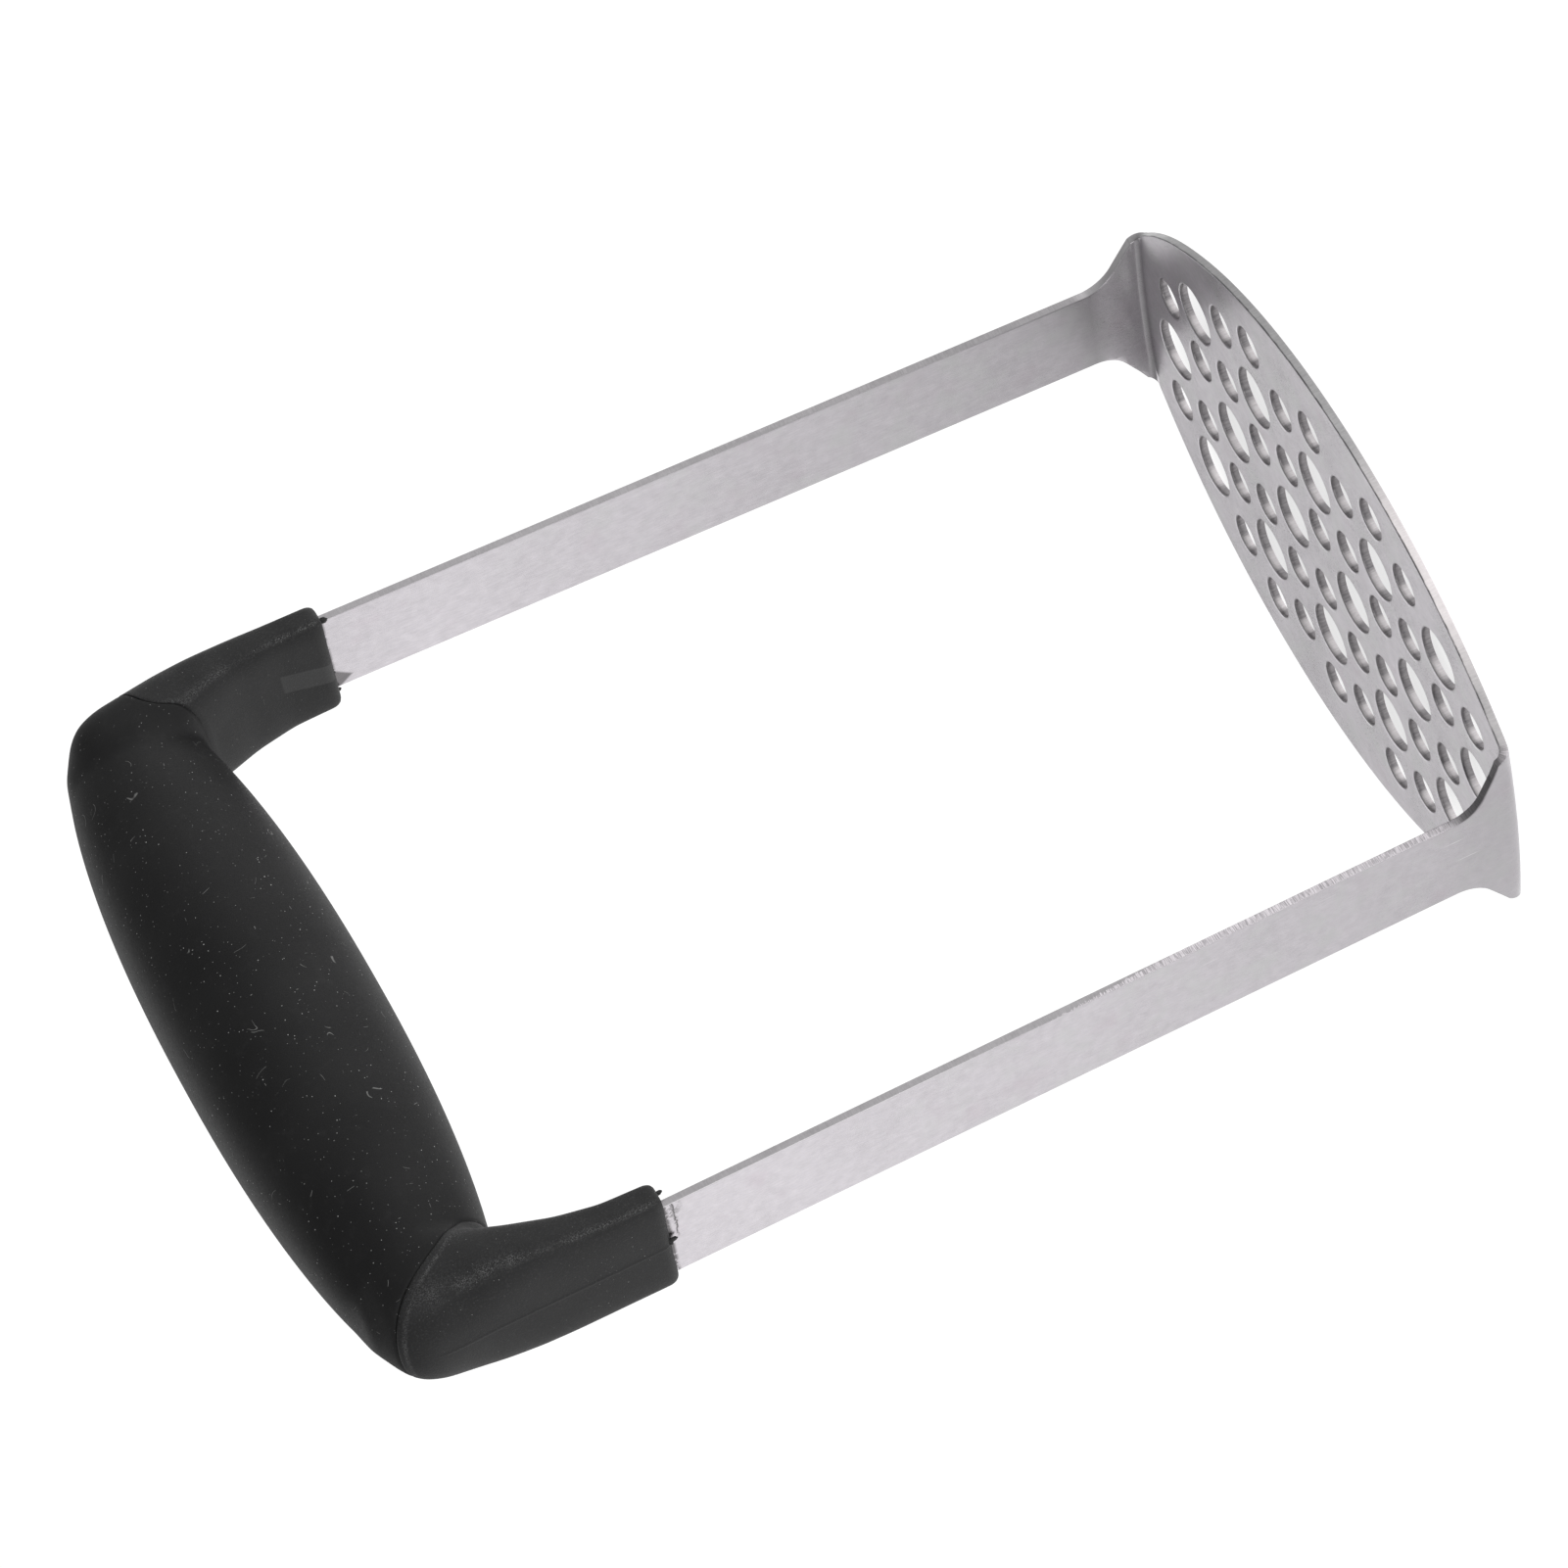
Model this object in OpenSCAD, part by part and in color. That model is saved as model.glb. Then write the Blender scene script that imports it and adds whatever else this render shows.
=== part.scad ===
// Hand potato masher: a one-piece steel blade moulded into a rigid handle with a soft grip.
// The plate lies on z = 0 with its centre at the origin, x runs along the handle, z points up.

/* [Plate] */
// Width of the plate across its middle, front to back
plate_w = 75.6; // [62:0.2:92]
// Length of each bend line between plate and arm
bend_w = 30; // [25:0.5:36]
// Thickness of the steel sheet
sheet_t = 1.3; // [1:0.1:2]
// Inside radius of the bends
bend_r = 0.8; // [0.5:0.1:1.5]

/* [Holes] */
// Diameter of the large holes
large_hole_d = 9; // [7:0.2:10.8]
// Diameter of the small holes
small_hole_d = 6; // [5:0.2:7.2]
// Distance from the centre of the last large hole in the middle row to the bend
end_margin = 8.4; // [7:0.1:10.2]
// Distance from the middle of the outer pair of small rows to the edge, at the middle of the plate
side_margin = 13; // [10.8:0.1:15.6]
// How far the small holes step to either side of their row
zigzag = 2.25; // [1.8:0.05:2.7]
// Rounded-off edge of each hole at the upper face
hole_ease = 0.25; // [0.1:0.05:0.4]

/* [Arms] */
// Distance between the outer faces of the arms, where they meet the table
arm_span = 110; // [91:0.5:133]
// Width of each arm
arm_w = 14.5; // [12:0.5:17.5]
// Outward lean of each arm
arm_lean = 1.2; // [0.8:0.1:2]
// Height of the flare between bend and arm
flare_h = 5.2; // [4:0.1:7]
// Radius that leads the flare into the arm
flare_r = 6; // [3:0.5:8]
// Diameter of the anchor hole in each tang
anchor_d = 6; // [4:0.5:8]

/* [Handle] */
// Height of the grip's centre line above the table
grip_z = 159.3; // [132:0.1:192]
// Diameter of the grip at its middle
grip_d = 29.6; // [24.6:0.2:35.6]
// Diameter of the grip at the elbows, before its ends round off
grip_end_d = 15.2; // [12.6:0.2:18.4]
// How late the grip tapers, from a steady curve to square shoulders
grip_taper = 2.25; // [2:0.05:3]
// Thickness of the soft layer
grip_t = 2.5; // [1.5:0.1:3.5]
// Length of each leg of the core below the grip's centre line
leg_len = 31.7; // [26.4:0.1:38.1]
// Plastic beside each edge of the arm, at the mouth
skin_side = 2.4; // [2:0.1:3]
// How much each side of the leg swells between mouth and elbow
leg_swell = 1.4; // [1:0.1:2]
// Plastic over the outer face of each arm
skin_out = 1; // [0.8:0.1:2]
// Plastic over the inner face of each arm, at the mouth
skin_in = 2.3; // [1.5:0.1:3.5]
// Tang: the length of arm inside each leg, as a share of the leg's length
tang_share = 0.82; // [0.6:0.01:0.9]

/* [Hidden] */
$fn = 96;

// Bend: its outer radius, and the x of its axis, so that the arm's outer face would meet
// the table at half the span
bend_ro = bend_r + sheet_t;
bend_x = arm_span / 2 - bend_ro * (1 - sin(arm_lean)) / cos(arm_lean);

// Plate outline: two arcs, through the middle of each long side and the ends of the bends
half_w = plate_w / 2;
rise = half_w - bend_w / 2;
lens_r = (bend_x * bend_x + rise * rise) / (2 * rise);
lens_y = lens_r - half_w;

// Arms, measured along their own lean from the end of the bend
mouth_z = grip_z - leg_len;
arm_len = (mouth_z - bend_ro) / cos(arm_lean);
tang_depth = leg_len * tang_share;
tang_len = arm_len + tang_depth;
anchor_h = arm_len + tang_depth * 0.6;
flare_turn = atan2((bend_w - arm_w) / 2, flare_h);
flare_cut = flare_r * tan(flare_turn / 2);

// Hole rows: [y, number of holes]. The six holes of the middle row set the pitch along x, and
// the zigzag pairs of small rows lie between the large rows and outside them
hole_pitch = (bend_x - end_margin) / 2.5;
outer_y = half_w - side_margin;
row_pitch = outer_y * 0.66;
inner_y = outer_y * 0.35;
large_rows = [[-row_pitch, 5], [0, 6], [row_pitch, 5]];
small_rows = [[inner_y - zigzag, 5], [inner_y + zigzag, 6],
              [outer_y - zigzag, 4], [outer_y + zigzag, 3]];

// Handle: the x of an arm's middle plane at a height, the reach of the leg's plastic to either
// side of it, and the two ends of the slanting seam, [x, z]
function arm_mid(z) = arm_span / 2 + z * tan(arm_lean) - sheet_t / 2;
elbow_x = arm_mid(grip_z);
out_r = sheet_t / 2 + skin_out;
in_r = sheet_t / 2 + skin_in;
seam_low = [elbow_x - 15.5, grip_z - grip_d * 0.39];
seam_high = [elbow_x + 3, grip_z + grip_d * 0.19];

// Barrel: half its length, and its radius at a distance from its middle, which is the taper
// times the rounding of the ends
barrel_half = elbow_x + out_r - 0.5;
function taper_r(x) =
    grip_d / 2 * sqrt(1 - (1 - pow(grip_end_d / grip_d, 2)) * pow(abs(x) / elbow_x, grip_taper));
function barrel_r(x) = taper_r(x) * sqrt(max(0, 1 - pow(abs(x) / barrel_half, 24)));
barrel_steps = 24;
core_half = elbow_x - 9;

// Legs: each ring is [height from the centre line, outer reach, inner reach, half width,
// squareness]. The first rings round off the lip of the mouth, the last ones dome the elbow
leg_hw = arm_w / 2 + skin_side;
elbow_hw = leg_hw + leg_swell;
dome = grip_d * 0.29;
leg_rings = [
    [-leg_len, out_r - 0.9, in_r - 0.9, leg_hw - 0.9, 5],
    [-leg_len + 0.3, out_r - 0.3, in_r - 0.3, leg_hw - 0.3, 5],
    [-leg_len + 1.1, out_r, in_r, leg_hw, 5],
    [-leg_len * 0.76, out_r, in_r + 0.4, leg_hw + 0.4, 4.5],
    [-leg_len * 0.57, out_r, in_r + 1.7, leg_hw + 0.9, 4],
    [-leg_len * 0.38, out_r, in_r + 4, elbow_hw, 3.5],
    [-leg_len * 0.22, out_r, in_r + 7, elbow_hw, 3.2],
    [-dome * 0.23, out_r, in_r + 9.5, elbow_hw - 0.2, 2.8],
    [dome * 0.23, out_r - 0.2, in_r + 10, elbow_hw - 0.6, 2.6],
    [dome * 0.58, out_r - 0.9, in_r + 10, elbow_hw - 1.7, 2.5],
    [dome * 0.84, out_r - 3.2, in_r + 9, elbow_hw - 4, 2.2],
    [dome, out_r - 6.6, in_r + 6.5, elbow_hw - 6.8, 2]];
ring_n = 32;

// Power of a number that keeps its sign
function spow(v, p) = sign(v) * pow(abs(v), p);

// Points of one leg ring, counter-clockwise from above
function leg_ring(r) =
    let (z = grip_z + r[0], cx = arm_mid(z) + (r[1] - r[2]) / 2, hx = (r[1] + r[2]) / 2)
    [for (i = [0:ring_n - 1]) let (a = 360 * i / ring_n)
        [cx + hx * spow(cos(a), 2 / r[4]), r[3] * spow(sin(a), 2 / r[4]), z]];

// Solid skinned over a list of rings with the same number of points
module skin(rings) {
    n = len(rings[0]);
    last = len(rings) - 1;
    points = [for (r = rings) each r];
    sides = [for (k = [0:last - 1], i = [0:n - 1]) let (j = (i + 1) % n)
        each [[k * n + i, (k + 1) * n + j, k * n + j], [k * n + i, (k + 1) * n + i, (k + 1) * n + j]]];
    bottom = [for (i = [0:n - 1]) i];
    top = [for (i = [n - 1:-1:0]) last * n + i];
    polyhedron(points, concat([bottom, top], sides));
}

// Both copies of a right-hand piece, left and right
module both_sides() {
    children();
    mirror([1, 0, 0]) children();
}

// Moves a shape drawn in an arm's own frame, with z up the arm, to the right-hand arm
module on_arm() {
    translate([bend_x, 0, bend_ro]) rotate([0, arm_lean, 0]) translate([bend_r, 0, 0]) children();
}

// Plate outline between the bends
module plate_outline() {
    intersection() {
        translate([0, lens_y]) circle(r = lens_r);
        translate([0, -lens_y]) circle(r = lens_r);
        square([2 * bend_x, 2 * plate_w], center = true);
    }
}

// One punched hole with its upper edge eased
module hole(x, y, d) {
    translate([x, y, -1]) cylinder(d = d, h = sheet_t + 2);
    translate([x, y, sheet_t - hole_ease])
        cylinder(d1 = d, d2 = d + 4 * hole_ease, h = 2 * hole_ease);
}

// One row of holes, centred on x = 0
module hole_row(y, count, d) {
    for (i = [0:count - 1]) hole((i - (count - 1) / 2) * hole_pitch, y, d);
}

module plate() {
    difference() {
        linear_extrude(sheet_t) plate_outline();
        for (r = large_rows) hole_row(r[0], r[1], large_hole_d);
        for (r = small_rows, s = [-1, 1]) hole_row(s * r[0], r[1], small_hole_d);
    }
}

// Bend between the plate and the right-hand arm
module bend() {
    translate([bend_x, 0, bend_ro]) rotate([90, 0, 0]) rotate([0, 0, -90])
        rotate_extrude(angle = 90 - arm_lean)
            translate([bend_r, -bend_w / 2]) square([sheet_t, bend_w]);
}

// Outline of an arm with its flare, drawn with y across and the height up
module arm_outline() {
    translate([-arm_w / 2, 0]) square([arm_w, tang_len]);
    polygon([[-bend_w / 2, 0], [bend_w / 2, 0], [arm_w / 2, flare_h], [-arm_w / 2, flare_h]]);
    for (s = [-1, 1]) flare_fillet(s);
}

// Round fillet that leads one edge of the arm into the flare
module flare_fillet(s) {
    top = [s * arm_w / 2, flare_h + flare_cut];
    middle = [s * (arm_w / 2 + flare_r), flare_h + flare_cut];
    foot = [s * (arm_w / 2 + flare_cut * sin(flare_turn)), flare_h - flare_cut * cos(flare_turn)];
    difference() {
        polygon([top, [s * arm_w / 2, flare_h], foot, middle]);
        translate(middle) circle(r = flare_r);
    }
}

// Right-hand arm with its tang, which the core's plastic holds through the anchor hole
module arm() {
    on_arm() difference() {
        rotate([90, 0, 90]) linear_extrude(sheet_t) arm_outline();
        translate([-1, 0, anchor_h]) rotate([0, 90, 0]) cylinder(d = anchor_d, h = sheet_t + 2);
    }
}

module mashing_blade() {
    color("lightgray") union() {
        plate();
        both_sides() { bend(); arm(); }
    }
}

// Barrel of the grip, with its surface moved in by inset, to a distance from the middle
module barrel(inset, half) {
    translate([0, 0, grip_z]) rotate([0, 90, 0]) rotate_extrude()
        polygon(concat([[0, -half]],
            [for (i = [-barrel_steps:barrel_steps]) let (x = half * sin(90 * i / barrel_steps))
                if (barrel_r(x) > inset) [barrel_r(x) - inset, x]],
            [[0, half]]));
}

// Whole outer shape of the handle
module handle_shape() {
    barrel(0, barrel_half);
    both_sides() skin([for (r = leg_rings) leg_ring(r)]);
}

// Region that the soft grip fills, a prism between the two slanting seams
module grip_region() {
    rotate([90, 0, 0]) linear_extrude(60, center = true)
        polygon([[seam_low[0], 0], seam_low, seam_high, [seam_high[0] + 20, seam_high[1] + 8],
                 [seam_high[0] + 20, grip_z + 40], [-seam_high[0] - 20, grip_z + 40],
                 [-seam_high[0] - 20, seam_high[1] + 8], [-seam_high[0], seam_high[1]],
                 [-seam_low[0], seam_low[1]], [-seam_low[0], 0]]);
}

module handle_core() {
    color([0.2, 0.2, 0.2]) difference() {
        union() {
            barrel(grip_t, core_half);
            difference() { handle_shape(); grip_region(); }
        }
        both_sides() arm();
    }
}

module soft_grip() {
    color([0.14, 0.14, 0.14]) difference() {
        intersection() { handle_shape(); grip_region(); }
        barrel(grip_t, core_half);
        both_sides() arm();
    }
}

mashing_blade();
handle_core();
soft_grip();
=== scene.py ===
"""Looks of the potato masher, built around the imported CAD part.

The blade, the two legs of the core and the grip are rebuilt as finer meshes in the CAD's own
frame: x along the handle, z up from the plate. Sizes below are in millimetres, as in the CAD.
"""
import math
import random

import bmesh
import bpy
import numpy as np
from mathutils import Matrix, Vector


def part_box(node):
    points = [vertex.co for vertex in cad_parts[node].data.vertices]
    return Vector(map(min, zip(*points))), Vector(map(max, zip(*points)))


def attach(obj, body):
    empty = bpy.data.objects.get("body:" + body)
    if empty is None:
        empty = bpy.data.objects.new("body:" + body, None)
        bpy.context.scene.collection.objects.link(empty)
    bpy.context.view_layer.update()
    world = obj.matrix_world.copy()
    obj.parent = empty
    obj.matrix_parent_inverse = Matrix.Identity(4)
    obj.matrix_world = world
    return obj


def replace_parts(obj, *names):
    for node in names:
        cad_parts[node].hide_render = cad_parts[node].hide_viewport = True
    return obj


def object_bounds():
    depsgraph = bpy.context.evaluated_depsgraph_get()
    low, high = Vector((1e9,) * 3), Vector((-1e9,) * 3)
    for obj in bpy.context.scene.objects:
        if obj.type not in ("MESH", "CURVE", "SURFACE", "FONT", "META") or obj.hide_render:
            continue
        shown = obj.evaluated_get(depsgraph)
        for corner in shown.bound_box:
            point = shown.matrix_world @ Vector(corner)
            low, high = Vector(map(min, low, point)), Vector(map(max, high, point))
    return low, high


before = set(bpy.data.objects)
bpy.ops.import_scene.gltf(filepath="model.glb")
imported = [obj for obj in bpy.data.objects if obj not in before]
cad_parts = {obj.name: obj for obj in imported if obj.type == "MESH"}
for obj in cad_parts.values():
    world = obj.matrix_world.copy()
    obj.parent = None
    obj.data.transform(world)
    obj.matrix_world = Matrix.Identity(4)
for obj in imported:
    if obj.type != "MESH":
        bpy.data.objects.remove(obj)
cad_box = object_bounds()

MM = 0.001

# Blade. Places in the flat sheet are (along it from the plate's middle, across it, up from its underside).
SHEET_T = 1.3
PLATE_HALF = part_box("mashing_blade")[1].y / MM
TANG_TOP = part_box("mashing_blade")[1].z / MM
BEND_R = 0.8
BEND_RO = BEND_R + SHEET_T
LEAN = math.radians(1.2)
ARM_SPAN = 110.0
ARM_HALF = 7.25
BEND_X = ARM_SPAN / 2 - BEND_RO * (1 - math.sin(LEAN)) / math.cos(LEAN)
BEND_TURN = math.pi / 2 - LEAN
BEND_LEN = (BEND_R + SHEET_T / 2) * BEND_TURN
ARM_START = BEND_X + BEND_LEN
LENS_R = 75.6                                  # radius of the plate's two long sides
EASE, EASE_FROM, EASE_RUN = 0.5, 40.0, 13.0    # how the real plate narrows towards its ends
FLARE_H, FLARE_R = 5.2, 6.0                    # height of a flare's slant, and the round above it
FLARE_HALF = {(1, 1): 15.0, (-1, 1): 14.4, (-1, -1): 14.4, (1, -1): 13.9}   # by side in x and in y
SKEW = -0.008                                  # sideways shift of the plate's ends for each millimetre
SKEW_FROM, SKEW_RUN, SKEW_FADE = 30.0, 20.0, 8.5
LARGE_R, SMALL_R = 4.5, 3.0
END_MARGIN = 8.4                               # from the bend line to the last hole's centre
OUTER_Y = PLATE_HALF - 13.0
ZIGZAG = 2.25
EDGE = 0.2                                     # rounding of every cut edge
ROLL, ROLL_DEPTH = 0.42, 0.34                  # rounded upper edge of the holes, across and down
GLINT_X, GLINT_Y = 0.32, 0.95                  # hole walls get a painted highlight, laid out like burnish, where they face this way
GLINT_FROM, GLINT_RUN = 0.90, 0.085
BOW, BOW_HALF, BOW_MIDDLE = 1.0, 16.0, -0.3    # a bend line's ends lie further in than its middle
BOW_FADE = 5.0
ZONE_IN, ZONE_OUT = 1.2, 16.0                  # the finely cut stretch round a bend, inwards and up the arm

# Handle
GRIP_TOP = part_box("soft_grip")[1].z / MM
GRIP_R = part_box("soft_grip")[1].y / MM
GRIP_Z = GRIP_TOP - GRIP_R
MOUTH_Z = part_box("handle_core")[0].z / MM
LEG_LEN = GRIP_Z - MOUTH_Z
END_R = 7.6                                    # the barrel's radius at the arms
OUT_R, IN_R = SHEET_T / 2 + 1.0, SHEET_T / 2 + 2.3    # a leg's reach from the arm's middle, out and in
LEG_HALF = ARM_HALF + 2.4
ELBOW_HALF = LEG_HALF + 1.4
DOME = GRIP_R * 2 * 0.29
TAPER, END_POWER = 2.25, 24                    # shape of the barrel along x, and of its blunt ends
LEG_SHIFT = 0.22                               # the legs sit a little off the middle in y
MOUTH_ROUND, CROWN_ROUND, BLEND = 1.6, 2.0, 2.2
GROOVE_W, GROOVE_D = 0.42, 0.2
LINE_STEPS, LINE_H = (-0.3, 0.0, 0.3), 0.07    # moulding line: its foot, crest, foot, and its height
CELL, QUICK_CELL = 0.5, 0.9                    # mesh size of the handle's surface
CAP_SIDES = 20                                 # a face with at least this many corners closes a cut


def arm_mid(z):
    """Distance from the middle to the middle of an arm's sheet."""
    return ARM_SPAN / 2 + z * math.tan(LEAN) - SHEET_T / 2


ELBOW_X = arm_mid(GRIP_Z)
BARREL_HALF = ELBOW_X + OUT_R - 0.85           # from the middle to the barrel's blunt ends

# Places along the sheet, as distances from its middle
MOUTH_REACH = ARM_START + MOUTH_Z - BEND_RO    # where the arms go into the legs
ARM_LOW = 67.0                                 # just above the flares
TORN_TOP, TORN_FULL = 124.0, 100.0             # the torn band on the right arm's edge starts, is full


# ---------------------------------------------------------------- node helpers
class Nodes:
    """A material's node tree with short calls for the nodes used here."""

    def __init__(self, name):
        self.mat = bpy.data.materials.new(name)
        self.mat.use_nodes = True
        self.tree = self.mat.node_tree
        self.bsdf = self.tree.nodes["Principled BSDF"]

    def add(self, kind, **values):
        node = self.tree.nodes.new(kind)
        for key, value in values.items():
            setattr(node, key, value)
        return node

    def link(self, a, b):
        self.tree.links.new(a, b)

    def coords(self, source, scale, offset=(0, 0, 0)):
        """Coordinates in millimetres times scale, from an attribute or the object's own space."""
        if source == "object":
            out = self.add("ShaderNodeTexCoord").outputs["Object"]
        else:
            out = self.add("ShaderNodeAttribute", attribute_name=source).outputs["Vector"]
        mapping = self.add("ShaderNodeMapping")
        mapping.inputs["Scale"].default_value = [s / MM for s in scale]
        mapping.inputs["Location"].default_value = offset
        self.link(out, mapping.inputs["Vector"])
        return mapping.outputs["Vector"]

    def attribute(self, name):
        return self.add("ShaderNodeAttribute", attribute_name=name).outputs["Fac"]

    def split(self, vector):
        node = self.add("ShaderNodeSeparateXYZ")
        self.link(vector, node.inputs[0])
        return node.outputs

    def noise(self, vector, scale, detail, rough):
        node = self.add("ShaderNodeTexNoise")
        node.inputs["Scale"].default_value = scale
        node.inputs["Detail"].default_value = detail
        node.inputs["Roughness"].default_value = rough
        self.link(vector, node.inputs["Vector"])
        return node.outputs["Fac"]

    def ramp(self, value, low, high, out_low=0.0, out_high=1.0):
        node = self.add("ShaderNodeMapRange")
        for key, v in zip(("From Min", "From Max", "To Min", "To Max"), (low, high, out_low, out_high)):
            node.inputs[key].default_value = v
        self.link(value, node.inputs["Value"])
        return node.outputs["Result"]

    def math(self, op, a, b=None):
        node = self.add("ShaderNodeMath", operation=op)
        for i, v in enumerate((a, b)):
            if v is None:
                continue
            if isinstance(v, (int, float)):
                node.inputs[i].default_value = v
            else:
                self.link(v, node.inputs[i])
        return node.outputs[0]

    def plus(self, a, b):
        return self.math("ADD", a, b)

    def minus(self, a, b):
        return self.math("SUBTRACT", a, b)

    def times(self, a, b):
        return self.math("MULTIPLY", a, b)

    def larger(self, a, b):
        return self.math("MAXIMUM", a, b)

    def size(self, a):
        return self.math("ABSOLUTE", a)

    def mix(self, factor, a, b):
        node = self.add("ShaderNodeMix", data_type="RGBA")
        for socket, v in ((node.inputs["Factor"], factor), (node.inputs[6], a), (node.inputs[7], b)):
            if isinstance(v, (tuple, list)):
                socket.default_value = (*v, 1.0)
            elif isinstance(v, (int, float)):
                socket.default_value = v
            else:
                self.link(v, socket)
        return node.outputs[2]

    def bump(self, height, distance, strength):
        node = self.add("ShaderNodeBump")
        node.inputs["Distance"].default_value = distance * MM
        node.inputs["Strength"].default_value = strength
        self.link(height, node.inputs["Height"])
        self.link(node.outputs["Normal"], self.bsdf.inputs["Normal"])

    def specks(self, vector, size, share, seed):
        """1 inside small dots: one in a share of the cells of a Voronoi pattern holds a dot."""
        cell = self.add("ShaderNodeTexVoronoi", feature="F1")
        cell.inputs["Scale"].default_value = 1.0
        shifted = self.add("ShaderNodeVectorMath", operation="ADD")
        shifted.inputs[1].default_value = (seed, seed * 1.7, seed * 0.3)
        self.link(vector, shifted.inputs[0])
        self.link(shifted.outputs[0], cell.inputs["Vector"])
        dot = self.ramp(cell.outputs["Distance"], size, size * 0.6)
        pick = self.add("ShaderNodeSeparateColor")
        self.link(cell.outputs["Color"], pick.inputs[0])
        chosen = self.math("LESS_THAN", pick.outputs[0], share)
        return self.times(self.times(dot, chosen), pick.outputs[1])


# ---------------------------------------------------------------- materials
def steel_base(n, flat, reach, grain, fine, cloud):
    """Mottled satin steel, greenish in patches away from the handle, with faint stains."""
    mottle = n.noise(flat, 0.6, 4.0, 0.6)
    tone = n.plus(n.ramp(grain, 0.3, 0.7, -0.2, 0.2), n.ramp(mottle, 0.3, 0.7, -0.16, 0.16))
    tone = n.plus(tone, n.ramp(cloud, 0.3, 0.7, -0.13, 0.13))
    tone = n.plus(tone, n.ramp(fine, 0.3, 0.7, 0.34, 0.66))
    colour = n.mix(tone, (0.55, 0.526, 0.553), (0.80, 0.764, 0.804))
    green = n.ramp(n.noise(flat, 0.22, 4.0, 0.6), 0.48, 0.64, 0.0, 0.45)
    colour = n.mix(n.times(green, n.ramp(reach, 170, 110)), colour, (0.665, 0.672, 0.665))
    stain = n.ramp(n.noise(flat, 0.16, 2.0, 0.5), 0.58, 0.74)
    return n.mix(n.times(stain, 0.35), colour, (0.60, 0.53, 0.58))


def steel_shade(n, colour, reach, right):
    """Dulls the worked sheet of bends and flares. Painted shade: darkens both arms and their flares towards
    the plate, the left ones more.
    """
    worked = n.times(n.ramp(reach, BEND_X - 1.5, BEND_X), n.ramp(reach, BEND_X + 13, BEND_X + 7))
    colour = n.mix(n.times(worked, 0.3), colour, (0.44, 0.43, 0.445))
    left = n.minus(1.0, right)
    right_arm = n.times(right, n.ramp(reach, ARM_LOW, 171, 0.71, 1.0))
    left_arm = n.times(left, n.ramp(reach, ARM_LOW, 165, 0.58, 1.0))
    right_plate = n.times(right, n.ramp(reach, 58, 53, 0.0, 0.96))
    left_plate = n.times(left, n.ramp(reach, ARM_LOW, 60, 0.0, 0.96))
    # painted shade: the share of the colour that each place keeps
    level = n.larger(n.plus(right_arm, left_arm), n.plus(left_plate, right_plate))
    return n.mix(level, (0.0, 0.0, 0.0), colour)


def mouth_marks(n, flat, reach, across, right):
    """Marks at the handle: a scraped line and a smudge on the right arm, a wedge on the left one."""
    below = n.minus(MOUTH_REACH, reach)
    wobble = n.noise(flat, 0.8, 4.0, 0.7)
    line = n.size(n.minus(below, n.ramp(wobble, 0.2, 0.8, 0.75, 1.55)))
    line = n.times(n.ramp(line, 0.24, 0.05), n.ramp(across, -0.4, 1.2))
    smudge = n.times(n.ramp(wobble, 0.46, 0.56), n.ramp(below, 2.6, 0.9))
    smudge = n.times(smudge, n.ramp(across, 3.0, 5.6))
    marks = n.times(n.larger(line, smudge), right)
    aside = n.size(n.plus(across, 5.6))
    wedge = n.ramp(n.plus(below, n.times(aside, 1.3)), 2.9, 2.3)
    marks = n.larger(marks, n.times(wedge, n.minus(0.9, right)))
    return n.larger(marks, n.times(n.ramp(below, 0.5, 0.1), n.ramp(wobble, 0.4, 0.5)))


def steel_face():
    """Satin rolled sheet, its grain along the sheet from arm to arm."""
    n = Nodes("satin_steel")
    flat = n.coords("sheet", (1, 1, 1))
    grain = n.noise(n.coords("sheet", (0.5, 5, 1)), 1.0, 6.0, 0.65)
    fine = n.noise(n.coords("sheet", (2.2, 14, 1)), 1.0, 3.0, 0.6)
    cloud = n.noise(flat, 0.07, 3.0, 0.55)
    along, across, _ = n.split(flat)
    reach = n.size(along)
    right = n.ramp(along, -1, 1)
    colour = steel_base(n, flat, reach, grain, fine, cloud)
    # painted shade on the arms and flares
    colour = steel_shade(n, colour, reach, right)
    marks = mouth_marks(n, flat, reach, across, right)
    colour = n.mix(n.times(marks, 0.85), colour, (0.09, 0.085, 0.085))
    scratch = n.specks(n.coords("sheet", (0.05, 1.3, 1)), 0.1, 0.2, 4.0)
    colour = n.mix(n.times(scratch, 0.5), colour, (0.9, 0.89, 0.9))
    n.link(colour, n.bsdf.inputs["Base Color"])
    n.bsdf.inputs["Metallic"].default_value = 1.0
    rough = n.plus(n.ramp(fine, 0.3, 0.7, 0.26, 0.36), n.ramp(cloud, 0.3, 0.7, -0.03, 0.03))
    n.link(rough, n.bsdf.inputs["Roughness"])
    n.bump(n.plus(n.times(grain, 0.6), n.times(fine, 0.4)), 0.003, 0.7)
    return n.mat


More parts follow.
